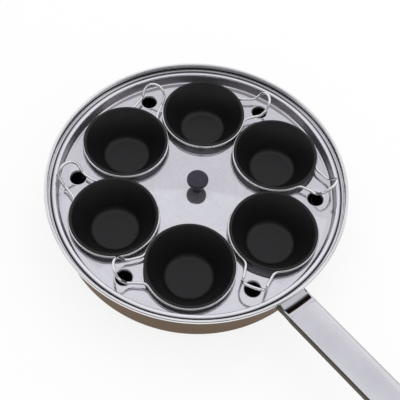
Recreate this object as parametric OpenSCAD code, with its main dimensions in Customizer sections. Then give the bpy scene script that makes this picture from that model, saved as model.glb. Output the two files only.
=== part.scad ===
// Egg poacher pan: a stepped steel pan with a capsule base and a hollow handle, a lift-out tray with
// a centre knob, and six tapered cups, each hung in its own wire holder.
// Origin: centre of the base on the surface it stands on. The handle runs along +X, up is +Z.

/* [Pan] */
// Outer radius of the curled rim
rim_r = 130; // [115:1:150]
// Height of the rim above the surface
pan_h = 61.8; // [58:0.2:80]
// Thickness of the pan's sheet
pan_t = 0.8; // [0.6:0.1:1.2]
// Outer radius of the bend between floor and wall
corner_r = 14; // [6:1:20]
// Radius of the curl along the rim
curl_r = 1.55; // [1.4:0.05:2]
// Depth of the inner ledge below the rim
ledge_drop = 7.4; // [6:0.1:12]
// Width of the inner ledge
ledge_w = 4.9; // [4:0.1:7]

/* [Base] */
// Distance from the aluminium core's edge to the start of the floor's bend
core_inset = 4.8; // [0.8:0.2:20]
// Thickness of the aluminium core
core_t = 4; // [2:0.5:8]
// Thickness of the steel cover under the core
cap_t = 0.6; // [0.4:0.1:1]

/* [Pan handle] */
// Distance from the rim's edge to the start of the grip
neck_reach = 11; // [8:0.5:20]
// Length of the grip along its slope
grip_len = 178; // [120:1:220]
// Rise of the grip above the level, in degrees
grip_rise = 12.5; // [0:0.5:20]
// Depth of the grip's top below the rim where the grip starts
grip_drop = 6.9; // [5:0.1:9]
// Width of the grip at the pan
grip_w = 27.6; // [22:0.2:36]
// Width of the grip at its far end
grip_end_w = 25; // [20:0.2:36]
// Depth of the grip from top to bottom
grip_t = 10.5; // [9:0.5:16]
// Thickness of the grip's two shells
shell_t = 1; // [0.8:0.1:1.5]
// Depth of the seam between the shells below the grip's top
seam_z = 4.6; // [3.5:0.1:6]
// Radius of the crown along the grip's top
top_crown_r = 100; // [60:5:200]
// Radius of the crown along the grip's underside
under_crown_r = 40; // [25:1:80]
// Diameter of the hanging hole
hang_d = 8; // [5:0.5:10]
// Distance from the hanging hole's centre to the grip's far end
hang_inset = 13; // [11:0.5:25]
// Thickness of the eyelet's wall
eyelet_t = 1.2; // [0.8:0.1:2]
// Depth of the foot of the neck's weld flange below the rim
flange_drop = 30.8; // [24:0.2:36]
// Thickness of the neck's weld flange
flange_t = 2.6; // [1.5:0.1:4]
// Width of the neck
neck_w = 26.8; // [20:0.2:34]
// Length of the tongue that holds the grip
tongue_len = 14; // [6:1:30]

/* [Tray] */
// Thickness of the tray's sheet
tray_t = 0.8; // [0.6:0.1:1.2]
// Depth of the tray's floor below the top of its flange
tray_depth = 9.8; // [8:0.2:16]
// Inner radius of the bend between the tray's floor and wall
tray_bend_r = 2; // [1:0.5:4]
// How far the flange reaches over the ledge
flange_seat = 2.3; // [1.5:0.1:3.5]
// Gap between the tray's wall and the pan's wall
tray_gap = 0.8; // [0.5:0.1:2]
// Distance from the tray's wall to the cups
cup_wall_gap = 5.3; // [4:0.1:10]
// Gap between two cups that stand side by side
cup_space = 2.3; // [1.9:0.1:6]
// Angle of the first cup from the handle
first_cup = 19.7; // [-30:0.1:30]
// Distance from the tray's wall to the centres of the steam holes
steam_inset = 16; // [12:0.2:18]
// Radius of a steam hole
steam_r = 6.6; // [4:0.1:7]
// Inner radius of the rounded entry of a steam hole
steam_lip_r = 1; // [0.5:0.1:1.5]
// Length of the neck below a steam hole
steam_neck = 1.2; // [0.6:0.1:3]

/* [Knob] */
// Radius of the knob's head
knob_r = 9.25; // [7:0.25:14]
// Height of the knob's head edge above the tray
knob_h = 15.5; // [14:0.5:26]
// Thickness of the knob's head at its edge
knob_head_t = 4.5; // [3:0.5:7]
// Radius of the knob's foot
knob_foot_r = 5.4; // [4.8:0.1:7]
// Depth of the waist cut into the knob's stem
knob_waist = 1; // [0.4:0.1:1.4]
// Height of the dome on the knob's head
knob_dome = 0.7; // [0.3:0.1:2]
// Diameter of the knob's screw
screw_d = 4; // [3:0.5:4.5]
// Wall thickness of the threaded insert in the knob
insert_t = 1.2; // [0.8:0.1:1.2]
// Length of the threaded insert
insert_len = 9; // [5:0.5:10]
// Radius of the screw's head
screw_head_r = 3.9; // [3.4:0.1:5]
// Height of the screw's head
screw_head_h = 2.4; // [1.5:0.1:3.5]
// Radius of the washer under the tray
washer_r = 6; // [5.2:0.1:10]
// Thickness of the washer
washer_t = 0.8; // [0.5:0.1:1.5]

/* [Cups] */
// Height of the lip's top above the tray's floor
cup_rise = 7.7; // [7:0.1:14]
// Width of the flat part of the lip
lip_w = 1.3; // [0.8:0.1:2]
// Thickness of a cup's sheet
cup_t = 0.9; // [0.6:0.1:1.4]
// Inner depth of a cup
cup_depth = 26; // [20:0.5:30]
// Lean of a cup's wall from the upright, in degrees
cup_lean = 30; // [22:0.5:33]
// Inner radius of the bend around a cup's floor
cup_floor_r = 7; // [3:0.5:10]
// Inner radius of the bend under the lip
lip_bend_r = 0.6; // [0.4:0.1:1]
// Gap between a cup's wall and the edge of its hole
cup_gap = 0.3; // [0.2:0.05:0.6]

/* [Wire holders] */
// Diameter of the wire
wire_d = 2.4; // [1.8:0.1:2.6]
// How far the ring's centre line lies inside the edge of the cup's lip
ring_inset = 0.3; // [0.2:0.05:0.6]
// Gap between the ring and the lip that rests on it
ring_gap = 0.1; // [0.05:0.05:0.3]
// Gap of the butt joint in the ring
joint_gap = 0.3; // [0.2:0.05:0.8]
// Angle from the loop to the butt joint, clockwise
joint_turn = 90; // [60:1:150]
// Half the loop's width at its end
loop_half = 10.2; // [8:0.1:12]
// Lean of the loop's legs towards each other, in degrees
leg_lean = 9; // [4:0.5:14]
// Radius of the bend where a leg leaves the ring
root_bend_r = 8; // [4:0.5:12]
// Radius of the bend that turns the legs parallel
waist_bend_r = 14; // [8:1:20]
// Distance from the ring to the upward bend
rise_reach = 11.5; // [10:0.1:14]
// Radius of the upward bend
rise_bend_r = 5; // [3:0.5:8]
// Rise of the loop's end, in degrees
loop_rise = 54; // [30:1:75]
// Straight stretch between the upward bend and the round end
loop_straight = 3.6; // [1:0.2:10]
// Turn of the first cup's loop from the outward direction
turn_1 = -75.8; // [-82:0.1:-64]
// Turn of the second cup's loop
turn_2 = -65; // [-82:0.1:-64]
// Turn of the third cup's loop
turn_3 = -75; // [-82:0.1:-64]
// Turn of the fourth cup's loop
turn_4 = -80.7; // [-82:0.1:-64]
// Turn of the fifth cup's loop
turn_5 = -69.8; // [-82:0.1:-64]
// Turn of the sixth cup's loop
turn_6 = -78.4; // [-82:0.1:-64]

/* [Hidden] */
$fn = 96;

// Overlap of cutting bodies past the faces they cut
cut = 1;
// Running clearance around the neck where it passes under the ledge and the curl
neck_gap = 0.3;

// Pan: heights and radii of the stepped wall
pan_z = cap_t + core_t;
upper_in = rim_r - 2 * curl_r;
wall_in = upper_in - ledge_w;
wall_out = wall_in + pan_t;
ledge_z = pan_h - ledge_drop;
ledge_under = ledge_z - pan_t;
core_r = wall_out - corner_r - core_inset;
ledge_edge_r = 0.5;
ledge_root_r = 0.5;
curl_z = pan_h - curl_r;
curl_x = rim_r - curl_r;
curl_end = -70;

// Tray: its flange rests on the ledge
flange_top = ledge_z + tray_t;
floor_z = flange_top - tray_depth;
tray_out = wall_in - tray_gap;
tray_in = tray_out - tray_t;
flange_r = wall_in + flange_seat;
flange_bend_r = 0.8;
steam_ring_r = tray_in - steam_inset;
cup_count = 6;
cup_step = 360 / cup_count;

// Cups: as large as fit side by side on their circle and inside the tray's wall
cup_chord = sin(cup_step / 2);
cup_ring_r = (tray_in - cup_wall_gap + cup_space / 2) / (1 + cup_chord);
cup_rim_r = cup_ring_r * cup_chord - cup_space / 2;
loop_turns = [turn_1, turn_2, turn_3, turn_4, turn_5, turn_6];

// Cup: the wall line runs down from lip_c with the unit normal wall_n, which points to the axis
lip_c = [cup_rim_r - lip_w, cup_rise - lip_bend_r - cup_t];
wall_n = [-cos(cup_lean), sin(cup_lean)];
wall_down = [-sin(cup_lean), -cos(cup_lean)];
wall_top = lip_c + (lip_bend_r + cup_t) * wall_n;
cup_floor = cup_rise - cup_depth;
wall_len = (wall_top[1] + cup_floor_r * wall_n[1] - cup_floor - cup_floor_r) / cos(cup_lean);
floor_c = wall_top + wall_len * wall_down + cup_floor_r * wall_n;
wall_back = wall_top - cup_t * wall_n;
seat_r = wall_back[0] - wall_back[1] * tan(cup_lean);
hole_r = seat_r + cup_gap;

// Wire: every stretch meets the next one along the same line
wire_r = wire_d / 2;
ring_z = cup_rise - cup_t - ring_gap - wire_r;
ring_r = cup_rim_r - ring_inset;
rise_start = ring_r + rise_reach;
leg_n = [sin(leg_lean), cos(leg_lean)];
leg_way = [cos(leg_lean), -sin(leg_lean)];
waist = [rise_start - waist_bend_r * sin(leg_lean), loop_half + waist_bend_r * (1 - cos(leg_lean))];
root_out = waist * leg_n + root_bend_r;
root_c = root_out * leg_n + sqrt(pow(ring_r + root_bend_r, 2) - pow(root_out, 2)) * leg_way;
root_angle = atan2(root_c[1], root_c[0]);
root_end = root_c - root_bend_r * leg_n;
rise_end = [rise_start + rise_bend_r * sin(loop_rise), ring_z + rise_bend_r * (1 - cos(loop_rise))];
round_c = rise_end + loop_straight * [cos(loop_rise), sin(loop_rise)];
half_joint = asin(joint_gap / 2 / ring_r);
ring_end = ring_r * [cos(root_angle), sin(root_angle)];
bead = 0.03;

// Handle: the grip is drawn level from its start and then raised
grip_start = rim_r + neck_reach;
grip_z = pan_h - grip_drop;
flange_foot_z = pan_h - flange_drop;
grip_end_x = grip_len - grip_end_w / 2;
valley_w = 2;
valley_dip = 0.3;
neck_top = curl_z - curl_r - neck_gap;
under_steps = 8;
eyelet_r = hang_d / 2 + eyelet_t;
eyelet_proud = 0.3;

// Tongue: it fits between the two shells with a gap all around
tongue_gap = 0.5;
tongue_inset = shell_t + tongue_gap;
tongue_narrow = max(0, grip_w - grip_end_w) * tongue_len / grip_end_x;
tongue_w = grip_w - 2 * tongue_inset - tongue_narrow;
tongue_top = -tongue_inset - crown_drop(top_crown_r - shell_t, tongue_w / 2);
tongue_under = tongue_inset - grip_t + crown_drop(under_crown_r - shell_t, tongue_w / 2);

// Knob and its fixing
knob_edge_r = 1.4;
knob_land = 0.2;
knob_stem_h = knob_h - knob_head_t;
insert_r = screw_d / 2 + insert_t;
thread_gap = 0.05;
screw_gap = 0.3;
screw_hole_r = screw_d / 2 + screw_gap;
slot_w = 1;
slot_d = 1.1;

// Facets of the small round sections in the preview
small_fn = 32;

// How far a crown of radius r falls at a distance x from its ridge
function crown_drop(r, x) = r - sqrt(pow(r, 2) - pow(x, 2));

// The points of an arc around c, in a number of equal steps
function arc(c, r, from, to, steps) =
    [for (i = [0:steps]) let (a = from + (to - from) * i / steps) c + r * [cos(a), sin(a)]];

// A pie slice that cuts an arc out of a ring
module slice(from, sweep, reach) {
    wedge = 30;
    steps = ceil(sweep / wedge);
    far = reach / cos(wedge / 2) + cut;
    polygon([[0, 0], for (i = [0:steps]) let (a = from + sweep * i / steps) far * [cos(a), sin(a)]]);
}

// The section of a bent sheet: an arc of thickness t with the outer radius r
module bend(x, z, r, t, from, sweep) {
    translate([x, z]) intersection() {
        difference() {
            circle(r = r);
            circle(r = r - t);
        }
        slice(from, sweep, r);
    }
}

// A wire bent to an arc about the z axis
module wire_arc(r, from, sweep) {
    rotate([0, 0, from]) rotate_extrude(angle = sweep) translate([r, 0]) circle(r = wire_r, $fn = small_fn);
}

// A straight wire from the origin along the x axis
module wire_bar(len) {
    rotate([0, 90, 0]) cylinder(r = wire_r, h = len, $fn = small_fn);
}

// The hair-wide bead where two stretches of wire run into each other
module wire_bead(place) {
    translate(place) sphere(r = wire_r + bead, $fn = small_fn);
}

// Places a child at the start of the grip and raises it
module along_grip() {
    translate([grip_start, 0, grip_z]) rotate([0, -grip_rise, 0]) children();
}

// Places a child at cup i, with the tray's floor at height 0
module at_cup(i) {
    rotate([0, 0, first_cup + i * cup_step]) translate([cup_ring_r, 0, floor_z]) children();
}

module pan_body() {
    color("silver") rotate_extrude() {
        translate([0, pan_z]) square([wall_out - corner_r, pan_t]);
        bend(wall_out - corner_r, pan_z + corner_r, corner_r, pan_t, 270, 90);
        translate([wall_in, pan_z + corner_r])
            square([pan_t, ledge_under - ledge_edge_r - pan_z - corner_r]);
        bend(wall_out + ledge_edge_r, ledge_under - ledge_edge_r, ledge_edge_r + pan_t, pan_t, 90, 90);
        translate([wall_out + ledge_edge_r, ledge_under])
            square([upper_in - ledge_root_r - wall_out - ledge_edge_r, pan_t]);
        bend(upper_in - ledge_root_r, ledge_z + ledge_root_r, ledge_root_r + pan_t, pan_t, 270, 90);
        translate([upper_in, ledge_z + ledge_root_r]) square([pan_t, curl_z - ledge_z - ledge_root_r]);
        bend(curl_x, curl_z, curl_r, pan_t, curl_end, 180 - curl_end);
    }
}

module base_core() {
    color("gainsboro") translate([0, 0, cap_t]) cylinder(r = core_r, h = core_t);
}

module base_cap() {
    color("silver") difference() {
        cylinder(r = core_r + cap_t, h = cap_t + core_t);
        translate([0, 0, cap_t]) cylinder(r = core_r, h = core_t + cut);
    }
}

// Outline of the grip from above, drawn in from its edge by inset
module grip_outline(inset) {
    start_r = grip_w / 2 - inset;
    end_r = grip_end_w / 2 - inset;
    polygon([[0, -start_r], [grip_end_x, -end_r], [grip_end_x, end_r], [0, start_r]]);
    translate([grip_end_x, 0]) circle(r = end_r);
}

// The grip's outer form, or its hollow when inset is the shell's thickness
module grip_form(inset) {
    roll = grip_len + 2 * cut;
    intersection() {
        translate([0, 0, -grip_t]) linear_extrude(height = grip_t) grip_outline(inset);
        translate([-cut, 0, -top_crown_r]) rotate([0, 90, 0]) cylinder(r = top_crown_r - inset, h = roll);
        translate([-cut, 0, under_crown_r - grip_t]) rotate([0, 90, 0])
            cylinder(r = under_crown_r - inset, h = roll);
    }
}

// One of the two shells: the part of the hollow grip between two depths
module grip_shell(from_depth, to_depth) {
    along_grip() intersection() {
        difference() {
            grip_form(0);
            grip_form(shell_t);
            translate([-cut, -grip_w, -grip_t]) cube([cut, 2 * grip_w, grip_t]);
            translate([grip_len - hang_inset, 0, -grip_t - cut])
                cylinder(r = eyelet_r, h = grip_t + 2 * cut);
        }
        translate([-cut, -grip_w, -to_depth]) cube([grip_len + 2 * cut, 2 * grip_w, to_depth - from_depth]);
    }
}

module handle_upper_shell() {
    color("silver") grip_shell(0, seam_z);
}

module handle_lower_shell() {
    color("silver") grip_shell(seam_z, grip_t);
}

module hang_eyelet() {
    len = grip_t + 2 * eyelet_proud;
    color("gainsboro") along_grip() translate([grip_len - hang_inset, 0, -grip_t - eyelet_proud])
        difference() {
            cylinder(r = eyelet_r, h = len);
            translate([0, 0, -cut]) cylinder(r = hang_d / 2, h = len + 2 * cut);
        }
}

// Section of the neck from the side: weld flange, swept underside and the valley before the grip
module neck_outline() {
    inside_x = wall_out - neck_w / 2;
    foot_x = wall_out + flange_t;
    far_x = grip_start + grip_t;
    sweep_w = grip_start + grip_t * sin(grip_rise) - foot_x;
    sweep_top = grip_z - grip_t * cos(grip_rise);
    sweep_h = (sweep_top - flange_foot_z) / 2;
    polygon(concat(
        [[inside_x, flange_foot_z], [foot_x, flange_foot_z]],
        [for (i = [0:under_steps]) let (a = 90 * i / under_steps)
            [foot_x + sweep_w * (1 - cos(a)), sweep_top - sweep_h * (1 - sin(a))]],
        [[far_x, sweep_top], [far_x, grip_z + grip_t * tan(grip_rise)], [grip_start, grip_z],
         [grip_start - valley_w, grip_z - valley_dip], [rim_r + neck_gap, neck_top], [inside_x, neck_top]]));
}

module handle_neck() {
    below = ledge_under - neck_gap;
    color("silver") {
        difference() {
            translate([0, neck_w / 2, 0]) rotate([90, 0, 0]) linear_extrude(height = neck_w) neck_outline();
            cylinder(r = wall_out, h = pan_h);
            translate([0, 0, below]) cylinder(r = upper_in + pan_t + neck_gap, h = pan_h);
            translate([0, 0, neck_top]) cylinder(r = rim_r + neck_gap, h = pan_h);
            along_grip() translate([0, -grip_w, -grip_len / 2]) cube([grip_len, 2 * grip_w, grip_len]);
        }
        along_grip() translate([0, -tongue_w / 2, tongue_under])
            cube([tongue_len, tongue_w, tongue_top - tongue_under]);
    }
}

// Section of the rounded entry and neck of one steam hole
module steam_neck_ring() {
    lip = steam_lip_r + tray_t;
    rotate_extrude() {
        bend(steam_r + lip, floor_z - lip, lip, tray_t, 90, 90);
        translate([steam_r, floor_z - lip - steam_neck]) square([tray_t, steam_neck]);
    }
}

module insert_tray() {
    floor_under = floor_z - tray_t;
    flange_c = flange_r - tray_t / 2;
    color("gainsboro") {
        difference() {
            rotate_extrude() {
                translate([0, floor_under]) square([tray_in - tray_bend_r, tray_t]);
                bend(tray_in - tray_bend_r, floor_z + tray_bend_r, tray_bend_r + tray_t, tray_t, 270, 90);
                translate([tray_in, floor_z + tray_bend_r])
                    square([tray_t, ledge_z - flange_bend_r - floor_z - tray_bend_r]);
                bend(tray_out + flange_bend_r, ledge_z - flange_bend_r, flange_bend_r + tray_t, tray_t,
                    90, 90);
                translate([tray_out + flange_bend_r, ledge_z])
                    square([flange_c - tray_out - flange_bend_r, tray_t]);
                translate([flange_c, ledge_z + tray_t / 2]) circle(r = tray_t / 2, $fn = small_fn);
            }
            for (i = [0:cup_count - 1]) rotate([0, 0, first_cup + i * cup_step]) {
                translate([cup_ring_r, 0, floor_under - cut]) cylinder(r = hole_r, h = tray_t + 2 * cut);
                rotate([0, 0, cup_step / 2]) translate([steam_ring_r, 0, floor_under - cut])
                    cylinder(r = steam_r + steam_lip_r + tray_t, h = tray_t + 2 * cut);
            }
            translate([0, 0, floor_under - cut]) cylinder(r = screw_hole_r, h = tray_t + 2 * cut);
        }
        for (i = [0:cup_count - 1]) rotate([0, 0, first_cup + (i + 0.5) * cup_step])
            translate([steam_ring_r, 0, 0]) steam_neck_ring();
    }
}

module knob() {
    waist_r = (pow(knob_stem_h / 2, 2) + pow(knob_waist, 2)) / (2 * knob_waist);
    dome_foot = knob_r - knob_edge_r - knob_land;
    dome_r = (pow(dome_foot, 2) + pow(knob_dome, 2)) / (2 * knob_dome);
    color("dimgray") translate([0, 0, floor_z]) difference() {
        union() {
            rotate_extrude() difference() {
                square([knob_foot_r, knob_stem_h]);
                translate([knob_foot_r + waist_r - knob_waist, knob_stem_h / 2]) circle(r = waist_r);
            }
            rotate_extrude() {
                translate([0, knob_stem_h]) square([knob_r - knob_edge_r, knob_head_t]);
                translate([0, knob_stem_h + knob_edge_r]) square([knob_r, knob_head_t - 2 * knob_edge_r]);
                for (z = [knob_stem_h + knob_edge_r, knob_h - knob_edge_r])
                    translate([knob_r - knob_edge_r, z]) circle(r = knob_edge_r);
            }
            intersection() {
                translate([0, 0, knob_h + knob_dome - dome_r]) sphere(r = dome_r);
                translate([0, 0, knob_h]) cylinder(r = knob_r, h = knob_r);
            }
        }
        translate([0, 0, -cut]) cylinder(r = insert_r, h = insert_len + cut);
    }
}

module knob_insert() {
    color("goldenrod") translate([0, 0, floor_z]) difference() {
        cylinder(r = insert_r, h = insert_len);
        translate([0, 0, -cut]) cylinder(r = screw_d / 2 + thread_gap, h = insert_len + 2 * cut);
    }
}

module knob_washer() {
    color("silver") translate([0, 0, floor_z - tray_t - washer_t]) difference() {
        cylinder(r = washer_r, h = washer_t);
        translate([0, 0, -cut]) cylinder(r = screw_hole_r, h = washer_t + 2 * cut);
    }
}

module knob_screw() {
    seat = floor_z - tray_t - washer_t;
    color("silver") difference() {
        union() {
            translate([0, 0, seat - screw_head_h]) cylinder(r = screw_head_r, h = screw_head_h);
            translate([0, 0, seat]) cylinder(r = screw_d / 2, h = tray_t + washer_t + insert_len - cut);
        }
        translate([-screw_head_r - cut, -slot_w / 2, seat - screw_head_h - cut])
            cube([2 * (screw_head_r + cut), slot_w, slot_d + cut]);
    }
}

// The cup's section: up its inside, around the edge of its lip and back down its outside
module cup(i) {
    edge_c = [cup_rim_r - cup_t / 2, cup_rise - cup_t / 2];
    color("dimgray") at_cup(i) rotate_extrude() polygon(concat(
        [[0, cup_floor]],
        arc(floor_c, cup_floor_r, 270, 360 - cup_lean, 6),
        arc(lip_c, lip_bend_r + cup_t, 180 - cup_lean, 90, 4),
        arc(edge_c, cup_t / 2, 90, -90, 6),
        arc(lip_c, lip_bend_r, 90, 180 - cup_lean, 4),
        arc(floor_c, cup_floor_r + cup_t, 360 - cup_lean, 270, 6),
        [[0, cup_floor - cup_t]]));
}

// One leg of the loop from the ring to the round end, on the side y > 0
module wire_leg() {
    leg = waist - root_end;
    for (p = [ring_end, root_end, waist, [rise_start, loop_half]]) wire_bead([p[0], p[1], ring_z]);
    for (p = [rise_end, round_c]) wire_bead([p[0], loop_half, p[1]]);
    translate([0, 0, ring_z]) {
        translate([root_c[0], root_c[1], 0])
            wire_arc(root_bend_r, 180 + root_angle, 90 - leg_lean - root_angle);
        translate([root_end[0], root_end[1], 0]) rotate([0, 0, -leg_lean]) wire_bar(norm(leg));
        translate([rise_start, loop_half + waist_bend_r, 0])
            wire_arc(waist_bend_r, 270 - leg_lean, leg_lean);
        translate([rise_start, loop_half, rise_bend_r]) rotate([90, 0, 0])
            wire_arc(rise_bend_r, -90, loop_rise);
    }
    translate([rise_end[0], loop_half, rise_end[1]]) rotate([0, -loop_rise, 0]) wire_bar(loop_straight);
}

module cup_handle(i) {
    first = 360 - joint_turn;
    color("gainsboro") at_cup(i) rotate([0, 0, loop_turns[i]]) {
        translate([0, 0, ring_z]) {
            wire_arc(ring_r, root_angle, first - half_joint - root_angle);
            wire_arc(ring_r, first + half_joint, joint_turn - half_joint - root_angle);
        }
        wire_leg();
        mirror([0, 1, 0]) wire_leg();
        translate([round_c[0], 0, round_c[1]]) rotate([0, -loop_rise, 0]) wire_arc(loop_half, -90, 180);
    }
}

pan_body();
base_core();
base_cap();
handle_neck();
handle_upper_shell();
handle_lower_shell();
hang_eyelet();
insert_tray();
knob();
knob_insert();
knob_screw();
knob_washer();
for (i = [0:cup_count - 1]) cup(i);
for (i = [0:cup_count - 1]) cup_handle(i);
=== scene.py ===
"""Egg poacher pan: the looks of a stepped steel pan with a lift-out tray and six black egg cups.

Every piece is worked out in metres in the frame of the packed CAD model: the origin is the centre of
the base on the surface that the pan stands on, the handle runs along +X and up is +Z.
"""

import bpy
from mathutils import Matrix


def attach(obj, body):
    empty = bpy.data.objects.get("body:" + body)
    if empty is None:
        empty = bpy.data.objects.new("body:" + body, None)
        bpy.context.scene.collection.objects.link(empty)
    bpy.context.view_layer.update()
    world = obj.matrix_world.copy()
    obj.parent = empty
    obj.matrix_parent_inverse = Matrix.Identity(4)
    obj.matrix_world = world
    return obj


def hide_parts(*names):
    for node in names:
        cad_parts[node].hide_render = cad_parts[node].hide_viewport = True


bl_info = {
    "name": "Egg Poacher Pan",
    "version": (1, 0, 0),
    "blender": (4, 5, 0),
    "location": "View3D > Sidebar > Poacher Pan",
    "description": "Builds a steel egg poacher pan with its tray, cups, wire holders and studio",
    "category": "Add Mesh",
}

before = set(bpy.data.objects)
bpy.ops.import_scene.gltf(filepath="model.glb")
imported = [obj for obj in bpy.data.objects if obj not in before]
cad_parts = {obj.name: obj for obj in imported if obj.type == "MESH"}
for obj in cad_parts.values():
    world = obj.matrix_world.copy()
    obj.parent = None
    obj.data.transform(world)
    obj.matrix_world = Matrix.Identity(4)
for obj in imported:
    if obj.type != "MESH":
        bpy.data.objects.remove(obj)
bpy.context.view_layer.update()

from math import atan2, cos, pi, radians, sin, sqrt, tan

import bmesh
import bpy
import numpy as np
from mathutils import Matrix, Vector

MM = 0.001
CUPS = 6
MERGE = 1e-7
TURNS = 288
HOLE_TURNS = 128
STEAM_TURNS = 64
SCREW_TURNS = 48
SHARP_ANGLE = radians(38)
FINE_GRAIN = 900
# Places across the neck's groove and the painted shade at each, standing in for its shade and dark
# reflections
GROOVE_PLACES = (0, 0.12, 0.3, 0.55, 0.75, 1)
GROOVE_PAINTED_SHADE = (0.75, 0.4, 0.03, 0.03, 0.35, 1)
GROOVE_DEEPEST = 0.45
GRIP_STEPS, GRIP_END_STEPS = 60, 48
WALL_ROWS, EDGE_ROWS, CROWN_ROWS = 4, 8, 16
# Rows of the grip's outside that get the painted reflection of the table
SIDE_REFLECTION_ROWS = 11
LIP_STEPS = 10


# Properties

def length(name, description, value_mm):
    """A size property, given in millimetres and kept in metres."""
    return bpy.props.FloatProperty(name=name, description=description, default=value_mm * MM,
                                   min=0.0, precision=5, unit="LENGTH")


def angle(name, description, value):
    """An angle property, given in degrees and kept in radians."""
    return bpy.props.FloatProperty(name=name, description=description, default=radians(value),
                                   unit="ROTATION")


def amount(name, description, value, top=1.0):
    """A plain number from 0 to top."""
    return bpy.props.FloatProperty(name=name, description=description, default=value, min=0.0, max=top)


def colour(name, description, value):
    """A colour property, given and kept as linear red, green and blue."""
    return bpy.props.FloatVectorProperty(name=name, description=description, default=value,
                                         min=0.0, max=1.0, size=3, subtype="COLOR")


class PanSizes(bpy.types.PropertyGroup):
    """Sizes of the pan, its base and its handle."""
    rim_radius: length("Rim radius", "Outer radius of the curled rim", 130)
    height: length("Height", "Height of the rim above the surface", 61.8)
    sheet: length("Sheet", "Thickness of the pan's sheet", 0.8)
    corner: length("Corner", "Outer radius of the bend between floor and wall", 14)
    curl: length("Curl", "Radius of the curl along the rim", 1.55)
    ledge_drop: length("Ledge drop", "Depth of the inner ledge below the rim", 7.4)
    ledge_width: length("Ledge width", "Width of the inner ledge", 4.9)
    gutter: length("Gutter", "Width of the bright strip of the ledge beside the wall", 1.75)
    ledge_bend: length("Ledge bend", "Inner radius of the bends at the ledge", 0.5)
    core_inset: length("Core inset", "Distance from the core's edge to the floor's bend", 4.8)
    core: length("Core", "Thickness of the aluminium core", 4)
    cap: length("Cap", "Thickness of the steel cover under the core", 0.6)
    cap_edge: length("Cap edge", "Radius of the cover's rounded edge", 0.9)


class HandleSizes(bpy.types.PropertyGroup):
    """Sizes of the neck, the grip and its eyelet."""
    reach: length("Reach", "Distance from the rim's edge to the grip", 11)
    grip_length: length("Grip length", "Length of the grip along its slope", 178)
    rise: angle("Rise", "Rise of the grip above the level", 12.5)
    drop: length("Drop", "Depth of the grip's top below the rim where it starts", 6.9)
    width: length("Width", "Width of the grip at the pan", 27.6)
    end_width: length("End width", "Width of the grip at its far end", 25)
    depth: length("Depth", "Depth of the grip from top to bottom", 10.5)
    shell: length("Shell", "Thickness of the grip's shells", 1)
    seam: length("Seam", "Depth of the seam between the shells", 4.6)
    top_crown: length("Top crown", "Radius of the crown along the top", 100)
    shoulder: length("Shoulder", "Width of the grip's sloping shoulder at the pan", 0.5)
    end_shoulder: length("End shoulder", "Width of the sloping shoulder at the far end", 10)
    shoulder_slope: amount("Shoulder slope", "Extra slope of the shoulders", 0.13)
    under_crown: length("Under crown", "Radius of the crown along the underside", 40)
    edge: length("Edge", "Radius of the grip's rounded edges", 1.1)
    hole: length("Hole", "Radius of the hanging hole", 4)
    hole_inset: length("Hole inset", "Distance from the hole to the grip's end", 13)
    eyelet: length("Eyelet", "Thickness of the eyelet's wall", 1.2)
    eyelet_proud: length("Eyelet proud", "How far the eyelet stands proud", 0.3)
    neck_width: length("Neck width", "Width of the neck", 26.8)
    flange: length("Flange", "Thickness of the neck's weld flange", 2.6)
    flange_drop: length("Flange drop", "Depth of the flange's foot below the rim", 30.8)
    neck_side: length("Neck side", "Width of the neck's straight sides beside the groove", 1.2)
    foot_narrow: length("Foot narrowing", "How much narrower each side of the neck is at its foot", 4.9)
    lip: length("Lip", "Flat stretch of the neck before the grip", 2.6)
    neck_rise: length("Neck rise", "Rise of the neck's middle towards the pan", 2.2)
    valley: length("Valley", "Width of the groove across the neck", 6)
    valley_dip: length("Valley dip", "Depth of the groove across the neck", 1.8)


class TraySizes(bpy.types.PropertyGroup):
    """Sizes of the lift-out tray."""
    sheet: length("Sheet", "Thickness of the tray's sheet", 0.8)
    depth: length("Depth", "Depth of the floor below the top of the flange", 9.8)
    bend: length("Bend", "Inner radius of the bend around the floor", 2)
    flare: length("Flare", "How far the wall leans inwards at its foot", 0.6)
    flange_seat: length("Flange seat", "How far the flange reaches over the ledge", 2.3)
    flange_bend: length("Flange bend", "Inner radius of the bend under the flange", 0.8)
    gap: length("Gap", "Gap between the tray's wall and the pan's wall", 0.8)
    cup_circle: length("Cup circle", "Radius of the circle of cups", 77.5)
    first_cup: angle("First cup", "Angle of the first cup from the handle", 19.7)
    steam_circle: length("Steam circle", "Radius of the circle of steam holes", 104.4)
    steam: length("Steam hole", "Radius of a steam hole", 6.6)
    steam_lip: length("Steam lip", "Inner radius of a steam hole's rounded entry", 1)
    steam_neck: length("Steam neck", "Length of the neck below a steam hole", 1.2)
    screw_hole: length("Screw hole", "Radius of the hole for the knob's screw", 2.3)


class KnobSizes(bpy.types.PropertyGroup):
    """Sizes of the knob."""
    radius: length("Radius", "Radius of the head", 9.25)
    height: length("Height", "Height of the head's edge above the tray", 15.5)
    head: length("Head", "Thickness of the head at its edge", 4.5)
    foot: length("Foot", "Radius of the foot", 5.4)
    waist: length("Waist", "Depth of the waist cut into the stem", 1)
    dome: length("Dome", "Height of the dome on the head", 0.7)
    edge: length("Edge", "Radius of the head's rounded edge", 1.4)
    bore: length("Bore", "Radius of the bore for the insert", 3.2)
    bore_depth: length("Bore depth", "Depth of the bore for the insert", 9)


class CupSizes(bpy.types.PropertyGroup):
    """Sizes of an egg cup."""
    rim: length("Rim", "Outer radius of the lip", 37.6)
    rise: length("Rise", "Height of the lip's top above the tray's floor", 7.7)
    lip: length("Lip", "Width of the flat part of the lip", 1.3)
    lip_bend: length("Lip bend", "Inner radius of the bend under the lip", 0.6)
    sheet: length("Sheet", "Thickness of a cup's sheet", 0.9)
    depth: length("Depth", "Inner depth of a cup", 26)
    lean: angle("Lean", "Lean of a cup's wall from the upright", 30)
    floor_bend: length("Floor bend", "Inner radius of the bend around the floor", 7)
    gap: length("Gap", "Gap between a cup's wall and its hole", 0.3)


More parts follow.
